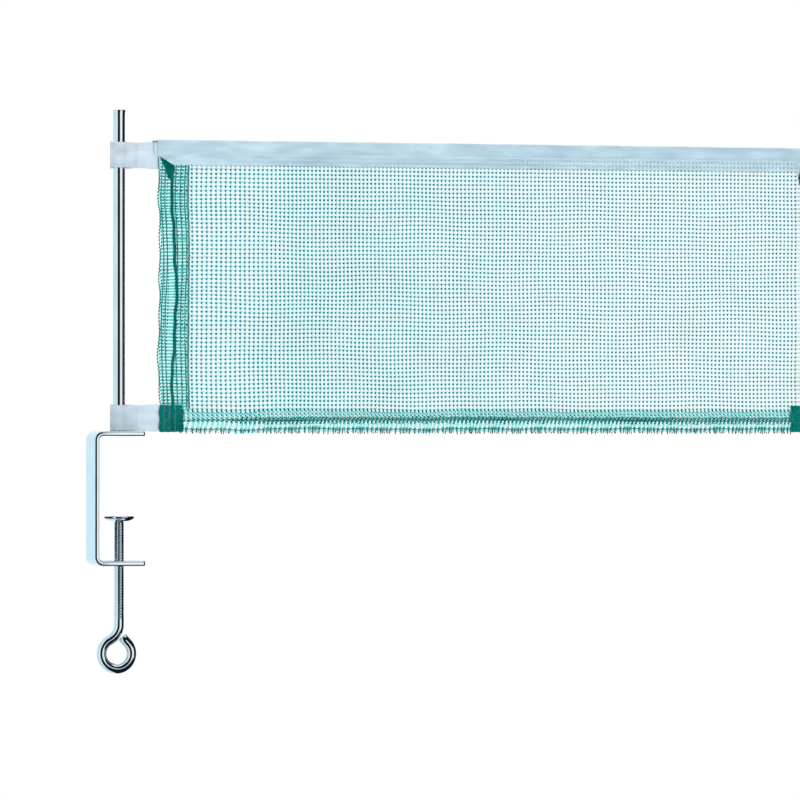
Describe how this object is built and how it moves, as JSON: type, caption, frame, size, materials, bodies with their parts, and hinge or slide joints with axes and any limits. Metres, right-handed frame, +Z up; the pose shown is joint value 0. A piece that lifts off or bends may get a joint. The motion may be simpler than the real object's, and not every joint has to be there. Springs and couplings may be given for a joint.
{
  "type": "table tennis net clamp",
  "caption": "Flat-bar table clamp with a round net post, an eye screw with a swivel pad, and a net hung on the post by two tape loops.",
  "frame": {"origin": "where the post's axis meets the underside of the upper arm, which is the table's playing surface", "axes": "+X along the net away from the clamp's post, +Z up along the post, +Y across the net"},
  "size_m": [0.4142, 0.025, 0.2895],
  "materials": {
    "zinc_bar": "bright zinc plate",
    "bright_rod": "nickel plate",
    "white_tape": "woven nylon tape",
    "band_cloth": "coated cotton tape",
    "net_yarn": "knotted polyester yarn",
    "net_cord": "twisted cord"
  },
  "bodies": {
    "frame": {"bracket": "zinc_bar", "post": "bright_rod"},
    "pad": {"pressure_pad": "bright_rod"},
    "screw": {"eye_screw": "bright_rod"},
    "loops": {"top_loop": "white_tape", "bottom_loop": "white_tape"},
    "net": {"top_strap": "white_tape", "bottom_strap": "white_tape", "top_band": "band_cloth", "head_cord": "net_cord", "net_mesh": "net_yarn", "left_hem": "net_yarn", "left_hem_cord": "net_cord", "left_corner": "net_yarn", "bottom_hem": "net_yarn", "foot_cord": "net_cord", "right_hem": "net_yarn", "right_hem_cord": "net_cord", "right_corner": "net_yarn", "far_top_strap": "white_tape", "far_bottom_strap": "white_tape"}
  },
  "joints": [
    {"name": "pad_travel", "type": "slide", "parent": "frame", "child": "pad", "axis": [0, 0, 1], "range_m": [-0.02, 0.027]},
    {"name": "screw_turn", "type": "hinge", "parent": "pad", "child": "screw", "pos_m": [0, 0, -0.06], "axis": [0, 0, 1], "range_deg": [-9000, 12150]},
    {"name": "net_lift", "type": "slide", "parent": "frame", "child": "loops", "axis": [0, 0, 1], "range_m": [0, 0.15]},
    {"name": "net_swing", "type": "hinge", "parent": "loops", "child": "net", "pos_m": [0, 0, 0.08], "axis": [0, 0, 1], "continuous": true}
  ],
  "couplings": [
    {"joint": "pad_travel", "follows": "screw_turn", "m_per_rad": 0.00012732}
  ]
}
